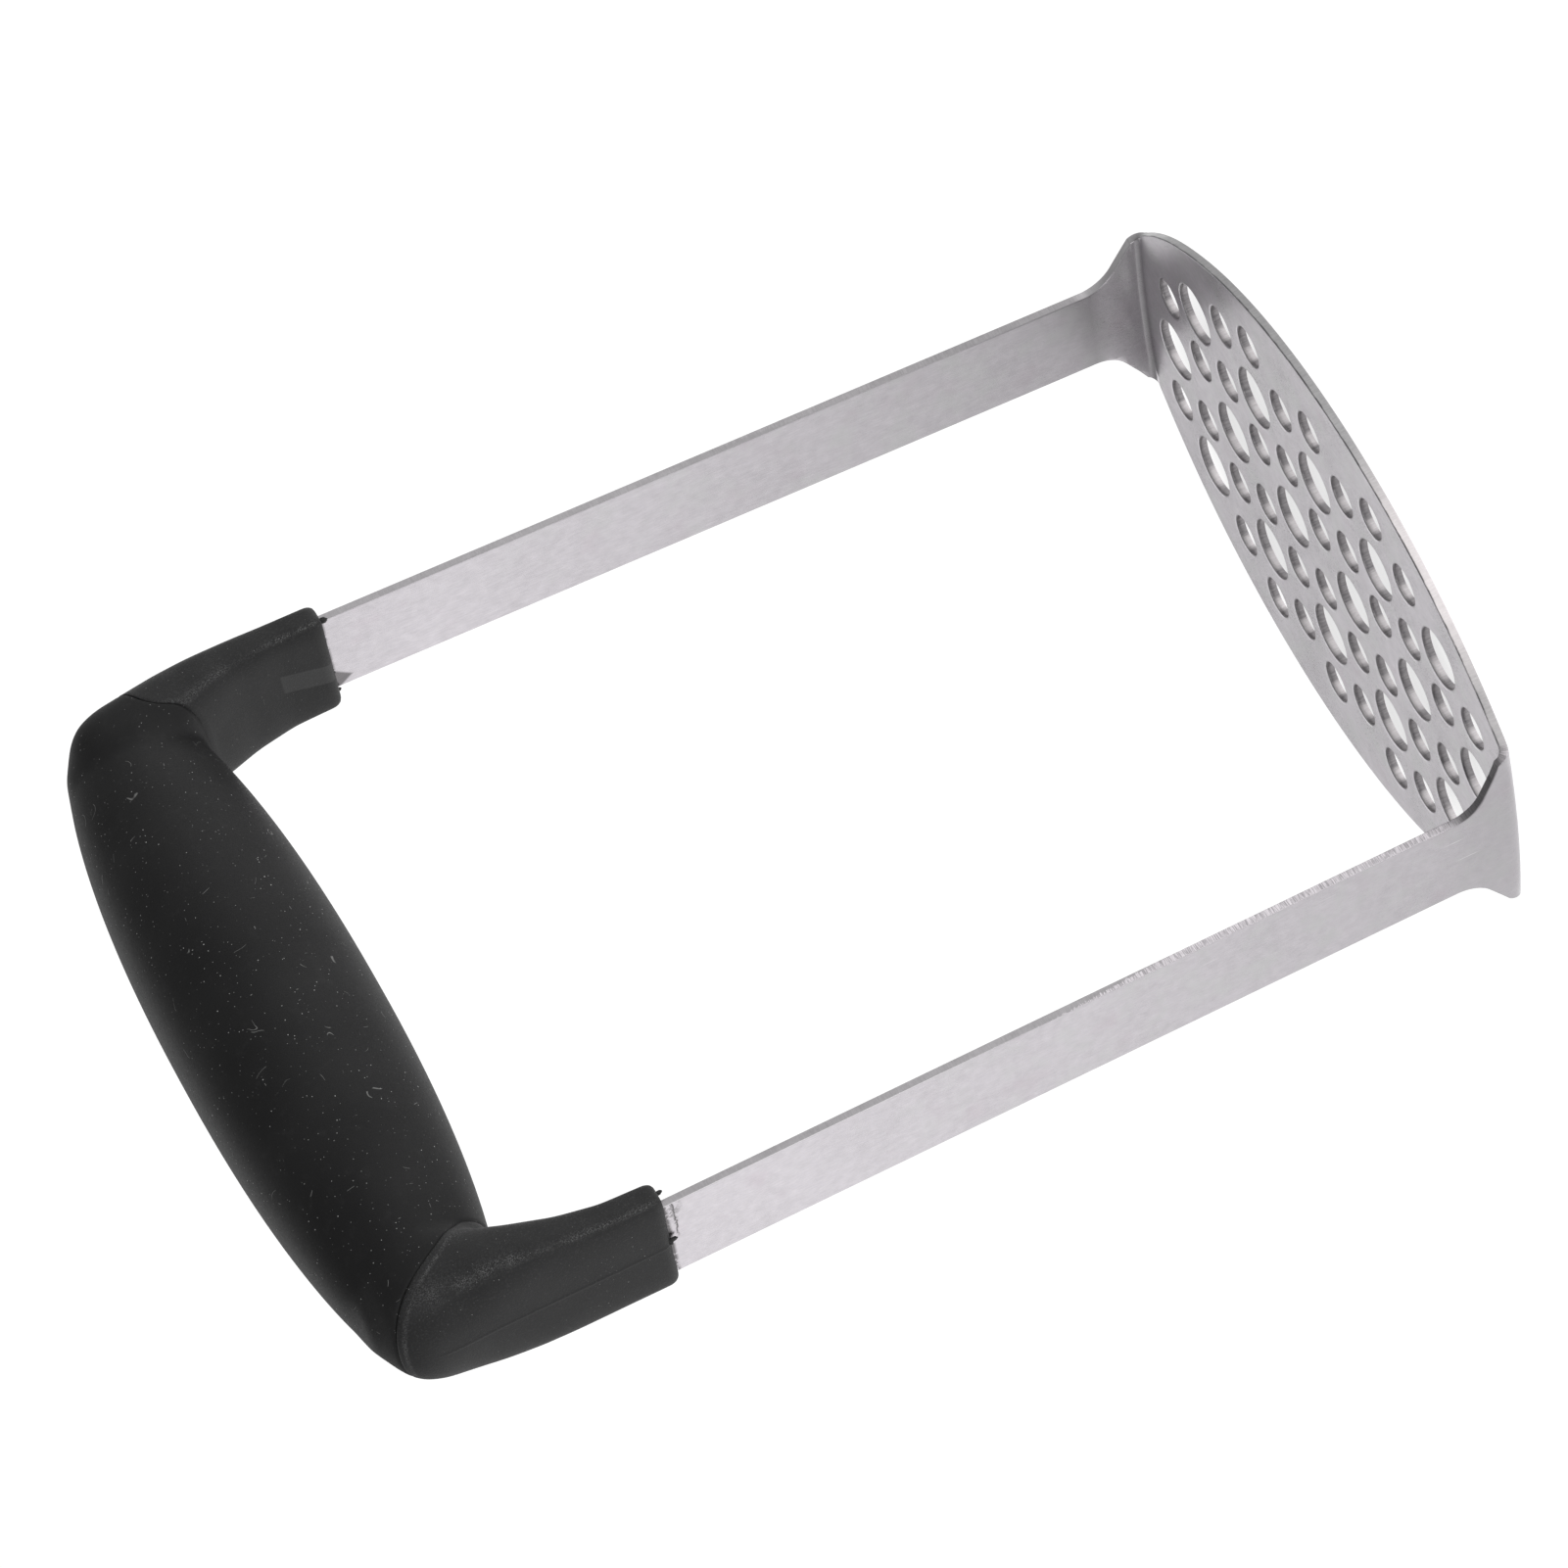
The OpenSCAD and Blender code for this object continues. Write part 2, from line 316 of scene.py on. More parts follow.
def rim_colour(n, along, depth, streak, patches):
    """Rim of the plate: dull, with a bright worn stretch on its right half; painted shade darkens the dull
    rim towards its left, and a painted shadow runs along its upper edge.
    """
    dull = n.mix(streak, (0.26, 0.26, 0.263), (0.56, 0.55, 0.555))
    # painted shade: the dull rim darkens from right to left, and lightens again at its left end
    level = n.larger(n.ramp(along, -32, 16, 0.62, 1.05), n.ramp(along, -36, -46, 0.0, 0.9))
    dull = n.mix(level, (0.02, 0.02, 0.02), dull)
    bright = n.mix(streak, (0.66, 0.62, 0.625), (1.0, 0.95, 0.955))
    worn = n.times(n.ramp(along, 12, 27), n.ramp(along, 47, 38, 0.25, 1.0))
    # painted shadow: a dark line in patches along the rim's upper edge
    upper = n.times(n.ramp(depth, 1.0, 1.12), n.ramp(patches, 0.42, 0.55))
    return n.mix(n.times(upper, 0.75), n.mix(worn, dull, bright), (0.10, 0.10, 0.105))


def strip_colour(n, along, reach, right, depth, streak):
    """Edges of the arms: dull, with a torn bright band that widens towards the plate on the right arm, a
    painted highlight along one corner up towards the mouths, and painted light and shade on the flares'
    slanted edges.
    """
    strip = n.mix(streak, (0.33, 0.32, 0.33), (0.50, 0.485, 0.50))
    low_left = n.times(n.ramp(along, -85, -130, 1.0, 0.0), n.ramp(along, 0, -1, 0.0, 0.3))
    strip = n.mix(low_left, strip, (0.1, 0.1, 0.1))
    edge = n.plus(n.ramp(reach, TORN_TOP, TORN_FULL, 0.0, 1.8), n.ramp(streak, 0.3, 0.7, -0.4, 0.25))
    torn = n.times(n.ramp(n.minus(edge, depth), 0.0, 0.12), n.ramp(right, 0.5, 0.6, 0.12, 1.0))
    marks = n.noise(n.coords("sheet", (9.0, 9.0, 0.5)), 1.0, 3.0, 0.6)
    ragged = n.mix(n.ramp(marks, 0.4, 0.6), (0.42, 0.40, 0.42), (0.82, 0.78, 0.815))
    strip = n.mix(torn, strip, ragged)
    # painted highlight: a bright line along one corner of the edge, up towards the mouths
    painted_corner_highlight = n.times(n.ramp(depth, 0.16, 0.05), n.ramp(reach, TORN_TOP, 140))
    strip = n.mix(n.times(painted_corner_highlight, 0.9), strip, (1.0, 0.98, 1.0))
    # painted light and shade: the flares' slanted edges are painted pale on the left and dark on the right
    slant = n.times(n.ramp(reach, BEND_X + 0.5, BEND_X + 2), n.ramp(reach, BEND_X + 12, BEND_X + 8))
    painted_slant_light = n.mix(right, (0.85, 0.83, 0.85), (0.15, 0.145, 0.15))
    return n.mix(n.times(slant, 0.75), strip, painted_slant_light)


def wall_colour(n, glint, depth, streak):
    """Hole walls: a painted highlight, laid out like burnish, where they face the plate's long sides; torn
    and dull at their two ends, their dark tone partly painted shade; a painted shadow along their upper
    edge.
    """
    # the walls' dark base tone: partly torn metal, partly painted shade
    wall = n.mix(n.ramp(streak, 0.3, 0.7), (0.22, 0.21, 0.22), (0.44, 0.42, 0.43))
    # painted highlight on the hole walls, laid out like a burnished band
    painted_glint = n.times(n.ramp(glint, 0.0, 1.0), n.ramp(streak, 0.3, 0.6, 0.75, 1.0))
    wall = n.mix(painted_glint, wall, (0.80, 0.765, 0.775))
    # painted shadow: a dark band along the walls' upper edge
    return n.mix(n.ramp(depth, 1.12, 1.24, 0.0, 0.6), wall, (0.13, 0.125, 0.13))


def steel_edge():
    """Cut edges of the sheet and the walls of the punched holes."""
    n = Nodes("sheared_edge")
    along, _, depth = n.split(n.coords("sheet", (1, 1, 1)))
    reach = n.size(along)
    right = n.ramp(along, -1, 1)
    streak = n.noise(n.coords("sheet", (4.5, 4.5, 0.6)), 1.0, 4.0, 0.65)
    patches = n.noise(n.coords("sheet", (0.3, 0.3, 0.8)), 1.0, 3.0, 0.6)
    glint = n.attribute("glint")
    rim = rim_colour(n, along, depth, streak, patches)
    strip = strip_colour(n, along, reach, right, depth, streak)
    colour = n.mix(n.ramp(reach, BEND_X - 1, BEND_X + 1), rim, strip)
    colour = n.mix(n.ramp(glint, -0.6, -0.2), colour, wall_colour(n, glint, depth, streak))
    n.link(colour, n.bsdf.inputs["Base Color"])
    n.bsdf.inputs["Metallic"].default_value = 1.0
    n.link(n.ramp(patches, 0.3, 0.7, 0.28, 0.44), n.bsdf.inputs["Roughness"])
    n.bump(streak, 0.02, 0.7)
    return n.mat


def dusty(n, colour, layers):
    """Lays specks and short fibres over a colour: (coordinate scales, size, share, seed, strength)."""
    for scales, size, share, seed, strength in layers:
        where = n.coords("object", scales, (seed, 0.3 * seed, 0.7 * seed))
        spot = n.specks(where, size, share, seed)
        colour = n.mix(n.times(spot, strength), colour, (0.75, 0.75, 0.74))
    return colour


def hairs(n, colour, scale, seed, strength):
    """Lays thin curling hairs over a colour: narrow level lines of a noise, shown in a few places."""
    where = n.coords("object", (scale, scale, scale), (seed, seed, seed))
    level = n.size(n.minus(n.noise(where, 1.0, 1.0, 0.5), 0.5))
    places = n.coords("object", (0.3, 0.3, 0.3), (seed, 0, 0))
    some = n.ramp(n.noise(places, 1.0, 1.0, 0.5), 0.68, 0.70)
    hair = n.times(n.ramp(level, 0.004, 0.002), some)
    return n.mix(n.times(hair, strength), colour, (0.5, 0.5, 0.49))


def seam_shadow(n, colour, off, shade):
    """Darkens the bottom of the groove; off is the distance to the nearest seam."""
    return n.mix(n.ramp(off, 0.2, 0.06, 0.0, 0.7), colour, (shade, shade, shade))


def scuffs(n, place, cloud, off, x):
    """1 on the scuffed ridges of the legs and on a band along the right seam, a little into the leg."""
    speck = n.ramp(n.noise(place, 5.5, 6.0, 0.75), 0.47, 0.60)
    worn = n.ramp(n.noise(place, 0.22, 3.0, 0.6), 0.38, 0.62, 0.2, 1.0)
    worn = n.times(n.attribute("ridge"), worn)
    band = n.ramp(n.size(n.minus(off, 1.5)), 0.55, 0.1, 0.0, 0.8)
    band = n.times(band, n.ramp(x, 0, 1))
    band = n.times(band, n.ramp(cloud, 0.4, 0.6, 0.3, 1.0))
    return n.times(n.larger(worn, band), speck)


def pale_patch(n, x, y, z):
    """1 on a slanting rectangle on the left leg's inner face, next to its mouth."""
    length, half_width, slope, start_y = 8.0, 1.8, 0.33, 1.2
    inner_x = -arm_mid(MOUTH_Z)
    patch = n.times(n.ramp(z, MOUTH_Z + length + 0.1, MOUTH_Z + length - 0.2),
                    n.ramp(x, inner_x + 1.5, inner_x + 2.2))
    patch = n.times(patch, n.ramp(x, -30, -31))
    middle = n.plus(n.times(z, slope), start_y - slope * (MOUTH_Z + length))
    return n.times(patch, n.ramp(n.size(n.minus(y, middle)), half_width + 0.1, half_width - 0.1))


def hard_plastic():
    """Moulded plastic of the legs, finely grained, with scuffs and a little dust."""
    n = Nodes("moulded_plastic")
    place = n.coords("object", (1, 1, 1))
    x, y, z = n.split(place)
    off = n.attribute("seam")
    grain = n.noise(place, 3.4, 5.0, 0.7)
    cloud = n.noise(place, 0.12, 3.0, 0.5)
    colour = n.mix(n.ramp(cloud, 0.3, 0.7), (0.0145, 0.0145, 0.015), (0.0225, 0.0225, 0.023))
    colour = n.mix(n.ramp(grain, 0.52, 0.7, 0.0, 0.07), colour, (0.4, 0.4, 0.4))
    scuff = scuffs(n, place, cloud, off, x)
    colour = n.mix(n.times(scuff, 0.5), colour, (0.42, 0.42, 0.42))
    colour = n.mix(n.times(pale_patch(n, x, y, z), 0.034), colour, (0.8, 0.8, 0.8))
    colour = dusty(n, colour, (((1.6, 1.6, 1.6), 0.11, 0.14, 1.0, 0.5),
                               ((2.6, 2.6, 2.6), 0.17, 0.08, 7.0, 0.3)))
    n.link(seam_shadow(n, colour, off, 0.004), n.bsdf.inputs["Base Color"])
    n.bsdf.inputs["Specular IOR Level"].default_value = 0.27
    n.link(n.ramp(grain, 0.3, 0.7, 0.46, 0.62), n.bsdf.inputs["Roughness"])
    n.bump(n.plus(n.times(grain, 0.8), n.times(scuff, -0.6)), 0.07, 0.8)
    return n.mat


def soft_rubber():
    """Soft dull layer of the grip, finely grained, with dust, fibres and a few hairs."""
    n = Nodes("soft_rubber")
    place = n.coords("object", (1, 1, 1))
    grain = n.noise(place, 4.0, 4.0, 0.7)
    cloud = n.noise(place, 0.09, 3.0, 0.5)
    smear = n.noise(place, 0.5, 5.0, 0.7)
    colour = n.mix(n.ramp(cloud, 0.3, 0.7), (0.0105, 0.0105, 0.0108), (0.0155, 0.0155, 0.0158))
    colour = n.mix(n.ramp(smear, 0.55, 0.75, 0.0, 0.012), colour, (0.6, 0.6, 0.6))
    clumps = n.ramp(n.noise(place, 0.16, 2.0, 0.6), 0.38, 0.6, 0.25, 1.0)
    dusted = dusty(n, colour, (((0.85, 0.85, 0.85), 0.085, 0.8, 2.0, 1.0),
                               ((1.5, 1.5, 1.5), 0.12, 0.6, 3.0, 0.9),
                               ((0.30, 2.4, 2.4), 0.10, 0.06, 5.0, 0.6),
                               ((2.2, 2.2, 0.34), 0.10, 0.06, 6.0, 0.6)))
    colour = n.mix(clumps, colour, dusted)
    colour = hairs(n, colour, 0.24, 3.0, 0.4)
    colour = hairs(n, colour, 0.16, 11.0, 0.35)
    n.link(seam_shadow(n, colour, n.attribute("seam"), 0.003), n.bsdf.inputs["Base Color"])
    n.bsdf.inputs["Specular IOR Level"].default_value = 0.22
    n.link(n.ramp(grain, 0.3, 0.7, 0.48, 0.64), n.bsdf.inputs["Roughness"])
    n.bump(grain, 0.035, 0.6)
    return n.mat


STEEL, CUT_STEEL, PLASTIC, RUBBER = steel_face(), steel_edge(), hard_plastic(), soft_rubber()


# ---------------------------------------------------------------- blade
def plate_half(s):
    """Half width of the plate at a distance from its middle."""
    ease = EASE * max(0.0, (s - EASE_FROM) / EASE_RUN) ** 2
    return math.sqrt(LENS_R ** 2 - s * s) - (LENS_R - PLATE_HALF) - ease


def edge_points(sheet_end, wing):
    """One quarter of the flat sheet's outline: (distance from the middle, half width) pairs."""
    points = [(s, plate_half(s)) for s in np.linspace(0, BEND_X, 60)]
    points.append((ARM_START, wing))
    turn = math.atan2(wing - ARM_HALF, FLARE_H)
    foot = ARM_START + FLARE_H + FLARE_R * math.tan(turn / 2)
    for a in np.linspace(turn, 0, 17):
        points.append((foot - FLARE_R * math.sin(a), ARM_HALF + FLARE_R * (1 - math.cos(a))))
    points.append((sheet_end, ARM_HALF))
    return points


def skew(s):
    """Sideways shift of the outline, which sets in along the plate and fades along the flares."""
    grow = min(1.0, max(0.0, (abs(s) - SKEW_FROM) / SKEW_RUN))
    fade = 1 - min(1.0, max(0.0, (abs(s) - ARM_START) / SKEW_FADE))
    return SKEW * s * fade * grow * grow * (3 - 2 * grow)


def blade_outline(sheet_end):
    corners = []
    for (sx, sy), wing in FLARE_HALF.items():
        line = [(sx * s, sy * half + skew(sx * s)) for s, half in edge_points(sheet_end, wing)]
        corners.append(line[::-1] if sx == sy else line)
    return corners[0] + corners[1][1:] + corners[2] + corners[3][1:]


def hole_places():
    """Middle and radius of every hole: a middle row, and five rows on each side of it."""
    pitch = (BEND_X - END_MARGIN) / 2.5
    large_y, inner_y = OUTER_Y * 0.66, OUTER_Y * 0.35
    rows = [(0, 6, LARGE_R)]
    for y, count, radius in ((large_y, 5, LARGE_R), (inner_y - ZIGZAG, 5, SMALL_R),
                             (inner_y + ZIGZAG, 6, SMALL_R), (OUTER_Y - ZIGZAG, 4, SMALL_R),
                             (OUTER_Y + ZIGZAG, 3, SMALL_R)):
        rows += [(y, count, radius), (-y, count, radius)]
    return [((i - (count - 1) / 2) * pitch, y, radius) for y, count, radius in rows for i in range(count)]


def circle(x, y, radius):
    n = 56 if radius == LARGE_R else 40
    turns = [2 * math.pi * i / n for i in range(n)]
    return [(x + radius * math.cos(a), y + radius * math.sin(a)) for a in turns]


def bend_sheet(flat):
    """Places points of the flat sheet, (s, y, height in the sheet), in the bent blade."""
    s, y, t = flat.T
    side = np.where(s < 0, -1.0, 1.0)
    back = BOW * (np.minimum(np.abs(y), BOW_HALF + 1) / BOW_HALF) ** 2 + BOW_MIDDLE
    start = BEND_X - back
    turn = np.clip((np.abs(s) - start) / BEND_LEN, 0, 1) * BEND_TURN
    up = np.maximum(0, np.abs(s) - start - BEND_LEN)
    rho = BEND_RO - t
    x = np.minimum(np.abs(s), start) + rho * np.sin(turn) + up * math.cos(BEND_TURN)
    z = BEND_RO - rho * np.cos(turn) + up * math.sin(BEND_TURN)
    fade = 1 - np.exp(-up / BOW_FADE)
    return np.stack([side * (x + back * fade), y, z - back * fade], 1)


def round_holes(flat):
    """Widens the rounded upper edge of every hole, and says how much painted highlight, laid out like
    burnish, each point of a wall gets.
    """
    painted_glint = -np.ones(len(flat))
    for x, y, radius in hole_places():
        dx, dy = flat[:, 0] - x, flat[:, 1] - y
        d = np.hypot(dx, dy)
        mine = d < radius + EDGE + 0.02
        out = np.clip((d - radius) / EDGE, 0, 1)
        lip = mine & (flat[:, 2] > SHEET_T - EDGE - 0.01) & (d > radius - 0.03)
        grow = np.where(lip, (radius + ROLL * out) / d, 1.0)
        flat[:, 0] = x + dx * grow
        flat[:, 1] = y + dy * grow
        drop = SHEET_T - (SHEET_T - flat[:, 2]) * ROLL_DEPTH / EDGE
        flat[:, 2] = np.where(lip, drop, flat[:, 2])
        # how much painted highlight a wall point gets, by which way it faces
        along = np.abs(GLINT_X * dx + GLINT_Y * dy) / np.maximum(d, 1e-6)
        painted_glint = np.where(mine, np.clip((along - GLINT_FROM) / GLINT_RUN, 0, 1), painted_glint)
    return painted_glint


def flat_sheet():
    """The punched sheet before bending, with rounded cut edges, its middle plane at height 0."""
    sheet_end = ARM_START + (TANG_TOP - BEND_RO) / math.sin(BEND_TURN)
    curve = bpy.data.curves.new("blade_outline", "CURVE")
    curve.dimensions, curve.fill_mode = "2D", "BOTH"
    curve.extrude, curve.bevel_depth, curve.offset = SHEET_T / 2 - EDGE, EDGE, -EDGE
    curve.bevel_resolution = 3
    for loop in [blade_outline(sheet_end)] + [circle(*hole) for hole in hole_places()]:
        spline = curve.splines.new("POLY")
        spline.points.add(len(loop) - 1)
        for p, (x, y) in zip(spline.points, loop):
            p.co = (x, y, 0, 1)
        spline.use_cyclic_u = True
    carrier = bpy.data.objects.new("blade_outline", curve)
    bpy.context.scene.collection.objects.link(carrier)
    bpy.context.view_layer.update()
    solved = carrier.evaluated_get(bpy.context.evaluated_depsgraph_get())
    mesh = bpy.data.meshes.new_from_object(solved)
    bpy.data.objects.remove(carrier)
    return mesh


def cut_plane(bm, faces, point, normal, dist, **clear):
    """Cuts the given faces of a mesh by a plane."""
    edges = {e for f in faces for e in f.edges}
    verts = {v for f in faces for v in f.verts}
    geom = [*faces, *edges, *verts]
    bmesh.ops.bisect_plane(bm, geom=geom, dist=dist, plane_co=point, plane_no=normal, **clear)


def cut_bends(bm):
    """Cuts the flat sheet finely where it will be bent, across and along."""
    stops = [*np.linspace(BEND_X - ZONE_IN, ARM_START + 0.4, 15),
             *np.linspace(ARM_START + 1.2, ARM_START + ZONE_OUT, 9)]
    for side in (-1, 1):
        for s in stops:
            cut_plane(bm, bm.faces, (side * s, 0, 0), (1, 0, 0), 1e-5)
        for y in np.linspace(-15, 15, 13):
            zone = [f for f in bm.faces
                    if BEND_X - ZONE_IN < side * f.calc_center_median().x < ARM_START + ZONE_OUT]
            cut_plane(bm, zone, (0, y, 0), (0, 1, 0), 1e-5)


def even_triangles(bm):
    """Gives the plate well-shaped triangles between its holes, before their upper edges are widened."""
    bm.normal_update()
    limit = BEND_X - ZONE_IN + 0.1
    plate = [f for f in bm.faces
             if abs(f.normal.z) > 0.99 and all(abs(v.co.x) < limit for v in f.verts)]
    plate = set(bmesh.ops.triangulate(bm, faces=plate)["faces"])
    inner = [e for e in bm.edges if len(e.link_faces) == 2 and all(f in plate for f in e.link_faces)]
    bmesh.ops.beautify_fill(bm, faces=list(plate), edges=inner)
    bmesh.ops.dissolve_degenerate(bm, edges=bm.edges, dist=0.001)


def sort_faces(bm, flat):
    """Tells cut edges from broad faces while the sheet is flat, and keeps what stays flat unsmoothed."""
    bm.normal_update()
    reach = np.abs(flat[:, 0])
    stays_flat = (reach < BEND_X - ZONE_IN - 0.2) | (reach > ARM_START + ZONE_OUT - 0.1)
    for f in bm.faces:
        f.material_index = 1 if abs(f.normal.z) < 0.8 else 0
        f.smooth = not (abs(f.normal.z) > 0.999 and all(stays_flat[v.index] for v in f.verts))


def build_blade():
    bm = bmesh.new()
    bm.from_mesh(flat_sheet())
    bmesh.ops.remove_doubles(bm, verts=bm.verts, dist=0.004)
    cut_bends(bm)
    even_triangles(bm)
    bm.verts.index_update()
    flat = np.array([v.co for v in bm.verts])
    flat[:, 2] += SHEET_T / 2
    sort_faces(bm, flat)
    glint = round_holes(flat)
    for v, co in zip(bm.verts, bend_sheet(flat) * MM):
        v.co = co
    bmesh.ops.triangulate(bm, faces=[f for f in bm.faces if len(f.verts) > 4])
    bmesh.ops.recalc_face_normals(bm, faces=bm.faces)
    mesh = bpy.data.meshes.new("steel_blade")
    bm.to_mesh(mesh)
    bm.free()
    sheet = mesh.attributes.new("sheet", "FLOAT_VECTOR", "POINT")
    sheet.data.foreach_set("vector", (flat * MM).astype(np.float32).ravel())
    mesh.attributes.new("glint", "FLOAT", "POINT").data.foreach_set("value", glint.astype(np.float32))
    mesh.materials.append(STEEL)
    mesh.materials.append(CUT_STEEL)
    obj = bpy.data.objects.new("steel_blade", mesh)
    bpy.context.scene.collection.objects.link(obj)
    mesh.set_sharp_from_angle(angle=math.radians(40))
    weighted = obj.modifiers.new("flat_normals", "WEIGHTED_NORMAL")
    weighted.keep_sharp = True
    weighted.weight = 100
    return obj


# ---------------------------------------------------------------- handle
def smooth_table(z_points, values, spread):
    """A function of z, linear between the given points and then softened over a spread."""
    step, margin = 0.2, 12
    z = np.arange(min(z_points) - margin, max(z_points) + margin, step)
    v = np.interp(z, z_points, values)
    k = np.exp(-0.5 * (np.arange(-4 * spread, 4 * spread + 0.01, step) / spread) ** 2)
    pad = len(k) // 2
    v = np.convolve(np.pad(v, pad, mode="edge"), k / k.sum(), mode="valid")[: len(z)]
    return lambda q: np.interp(q, z, v)


# height above the centre line, outer reach, inner reach, half width, squareness
RINGS = np.array([
    (-LEG_LEN, OUT_R, IN_R, LEG_HALF - 0.1, 5.5),
    (-LEG_LEN * 0.76, OUT_R, IN_R + 0.45, LEG_HALF, 5.0),
    (-LEG_LEN * 0.57, OUT_R - 0.05, IN_R + 1.75, LEG_HALF + 0.5, 4.4),
    (-LEG_LEN * 0.38, OUT_R - 0.1, IN_R + 4.1, ELBOW_HALF - 0.3, 3.7),
    (-LEG_LEN * 0.22, OUT_R - 0.12, IN_R + 6.8, ELBOW_HALF - 0.1, 3.2),
    (-DOME * 0.23, OUT_R - 0.35, IN_R + 9.5, ELBOW_HALF - 0.1, 2.8),
    (DOME * 0.23, OUT_R - 0.4, IN_R + 10, ELBOW_HALF - 0.6, 2.5),
    (DOME * 0.58, OUT_R - 1.0, IN_R + 10, ELBOW_HALF - 1.7, 2.3),
    (DOME * 0.84, OUT_R - 2.8, IN_R + 9, ELBOW_HALF - 4, 2.1),
    (DOME, OUT_R - 6.8, IN_R + 6.5, ELBOW_HALF - 7, 2.0)])
OUTER, INNER, HALF, SQUARE = (smooth_table(RINGS[:, 0], RINGS[:, k], 0.9) for k in (1, 2, 3, 4))


def softmin(a, b, k):
    """The smaller of two values, rounded where they are within k of each other."""
    h = np.clip(1 - np.abs(a - b) / k, 0, None)
    return np.minimum(a, b) - h * h * k / 4


def barrel_gap(x, y, z):
    """About the distance to the grip's barrel, negative inside."""
    a = np.abs(x)
    rho = np.sqrt(y ** 2 + (z - GRIP_Z) ** 2) + 1e-6
    share = 1 - (END_R / GRIP_R) ** 2
    inside = np.clip(1 - share * (a / ELBOW_X) ** TAPER, 0.02, None)
    r = GRIP_R * np.sqrt(inside)
    slope = -GRIP_R ** 2 * share * TAPER * (a / ELBOW_X) ** (TAPER - 1) / ELBOW_X / 2 / r
    g = (rho / r) ** 2 + (a / BARREL_HALF) ** END_POWER - 1
    gx = -2 * rho ** 2 * slope / r ** 3 + END_POWER * (a / BARREL_HALF) ** (END_POWER - 1) / BARREL_HALF
    return g / np.sqrt((2 * rho / r ** 2) ** 2 + gx ** 2 + 1e-5)


def leg_gap(x, y, z):
    """About the distance to a leg, negative inside."""
    dz = z - GRIP_Z
    o, i, w, n = OUTER(dz), INNER(dz), HALF(dz), SQUARE(dz)
    mid = arm_mid(z) + (o - i) / 2
    hx = (o + i) / 2
    px = np.abs(np.abs(x) - mid) / hx + 1e-4
    py = np.abs(y - LEG_SHIFT) / w + 1e-4
    q = (px ** n + py ** n) ** (1 / n)
    size = np.sqrt((px ** (n - 1) / hx) ** 2 + (py ** (n - 1) / w) ** 2) / q ** (n - 1)
    side = (q - 1) / (size + 1e-6)
    mouth = MOUTH_Z - z
    crown = dz - DOME
    return -softmin(softmin(-side, -mouth, MOUTH_ROUND), -crown, CROWN_ROUND)


def handle_gap(p):
    """About the distance of each point to the whole handle's surface, negative inside."""
    x, y, z = p.T
    return softmin(barrel_gap(x, y, z), leg_gap(x, y, z), BLEND)


def handle_gradient(p, h=0.03):
    out = np.empty_like(p)
    for k in range(3):
        step = np.zeros(3)
        step[k] = h
        out[:, k] = (handle_gap(p + step) - handle_gap(p - step)) / (2 * h)
    return out


def surface_net(cell):
    """Quads over the handle's surface: one point in each crossed cell, moved on to the surface."""
    low = np.array([-BARREL_HALF - 2.5, -GRIP_R - 1.5, MOUTH_Z - 1.5])
    high = np.array([BARREL_HALF + 2.5, GRIP_R + 1.5, GRIP_TOP + 1.5])
    shape = np.ceil((high - low) / cell).astype(int) + 1
    axes = [low[k] + cell * np.arange(shape[k]) for k in range(3)]
    grid = np.stack(np.meshgrid(*axes, indexing="ij"), -1).reshape(-1, 3)
    value = handle_gap(grid).reshape(shape)
    inside = value < 0
    corners = sum(inside[i:shape[0] - 1 + i, j:shape[1] - 1 + j, k:shape[2] - 1 + k].astype(int)
                  for i in (0, 1) for j in (0, 1) for k in (0, 1))
    crossed = (corners > 0) & (corners < 8)
    index = -np.ones(crossed.shape, int)
    cells = np.argwhere(crossed)
    index[crossed] = np.arange(len(cells))
    points = low + (cells + 0.5) * cell
    for _ in range(7):
        g = handle_gradient(points)
        move = handle_gap(points)[:, None] * g / ((g ** 2).sum(1)[:, None] + 1e-6)
        size = np.linalg.norm(move, axis=1)[:, None]
        points = points - move * np.minimum(1, 0.5 * cell / np.maximum(size, 1e-9))
    quads = []
    for k in range(3):
        a, b = [m for m in range(3) if m != k]
        one = np.take(inside, range(shape[k] - 1), axis=k)
        two = np.take(inside, range(1, shape[k]), axis=k)
        for c in np.argwhere(one != two):
            if c[a] == 0 or c[b] == 0:
                continue
            ring = []
            for da, db in ((0, 0), (1, 0), (1, 1), (0, 1)):
                d = c.copy()
                d[a] -= da
                d[b] -= db
                ring.append(index[tuple(d)])
            flip = one[tuple(c)] != (k == 1)
            quads.append(ring if flip else ring[::-1])
    return points, quads


# the seam between grip and leg, as x over z, on the right and on the left
SEAM = {1: smooth_table((140, 148, 152, 156.4, 159.8, 166.6, 171),
                        (45.0, 45.2, 46.7, 50.5, 52.6, 56.7, 61), 0.35),
        -1: smooth_table((140, 149.5, 151.3, 153.4, 155.3, 157, 158.6, 162.7, 166),
                         (49.7, 49.8, 50.8, 51.7, 53.5, 56.7, 58.0, 58.9, 62), 0.35)}


def shear(bm, side, sign):
    """Shifts a mesh along x so that a seam becomes the plane x = 0 (sign 1), or back (sign -1)."""
    heights = np.array([v.co.z for v in bm.verts])
    for v, dx in zip(bm.verts, SEAM[side](heights)):
        v.co.x -= sign * side * dx


def seam_distance(points, side):
    """Distance along x to one seam."""
    return np.abs(side * points[:, 0] - SEAM[side](points[:, 2]))


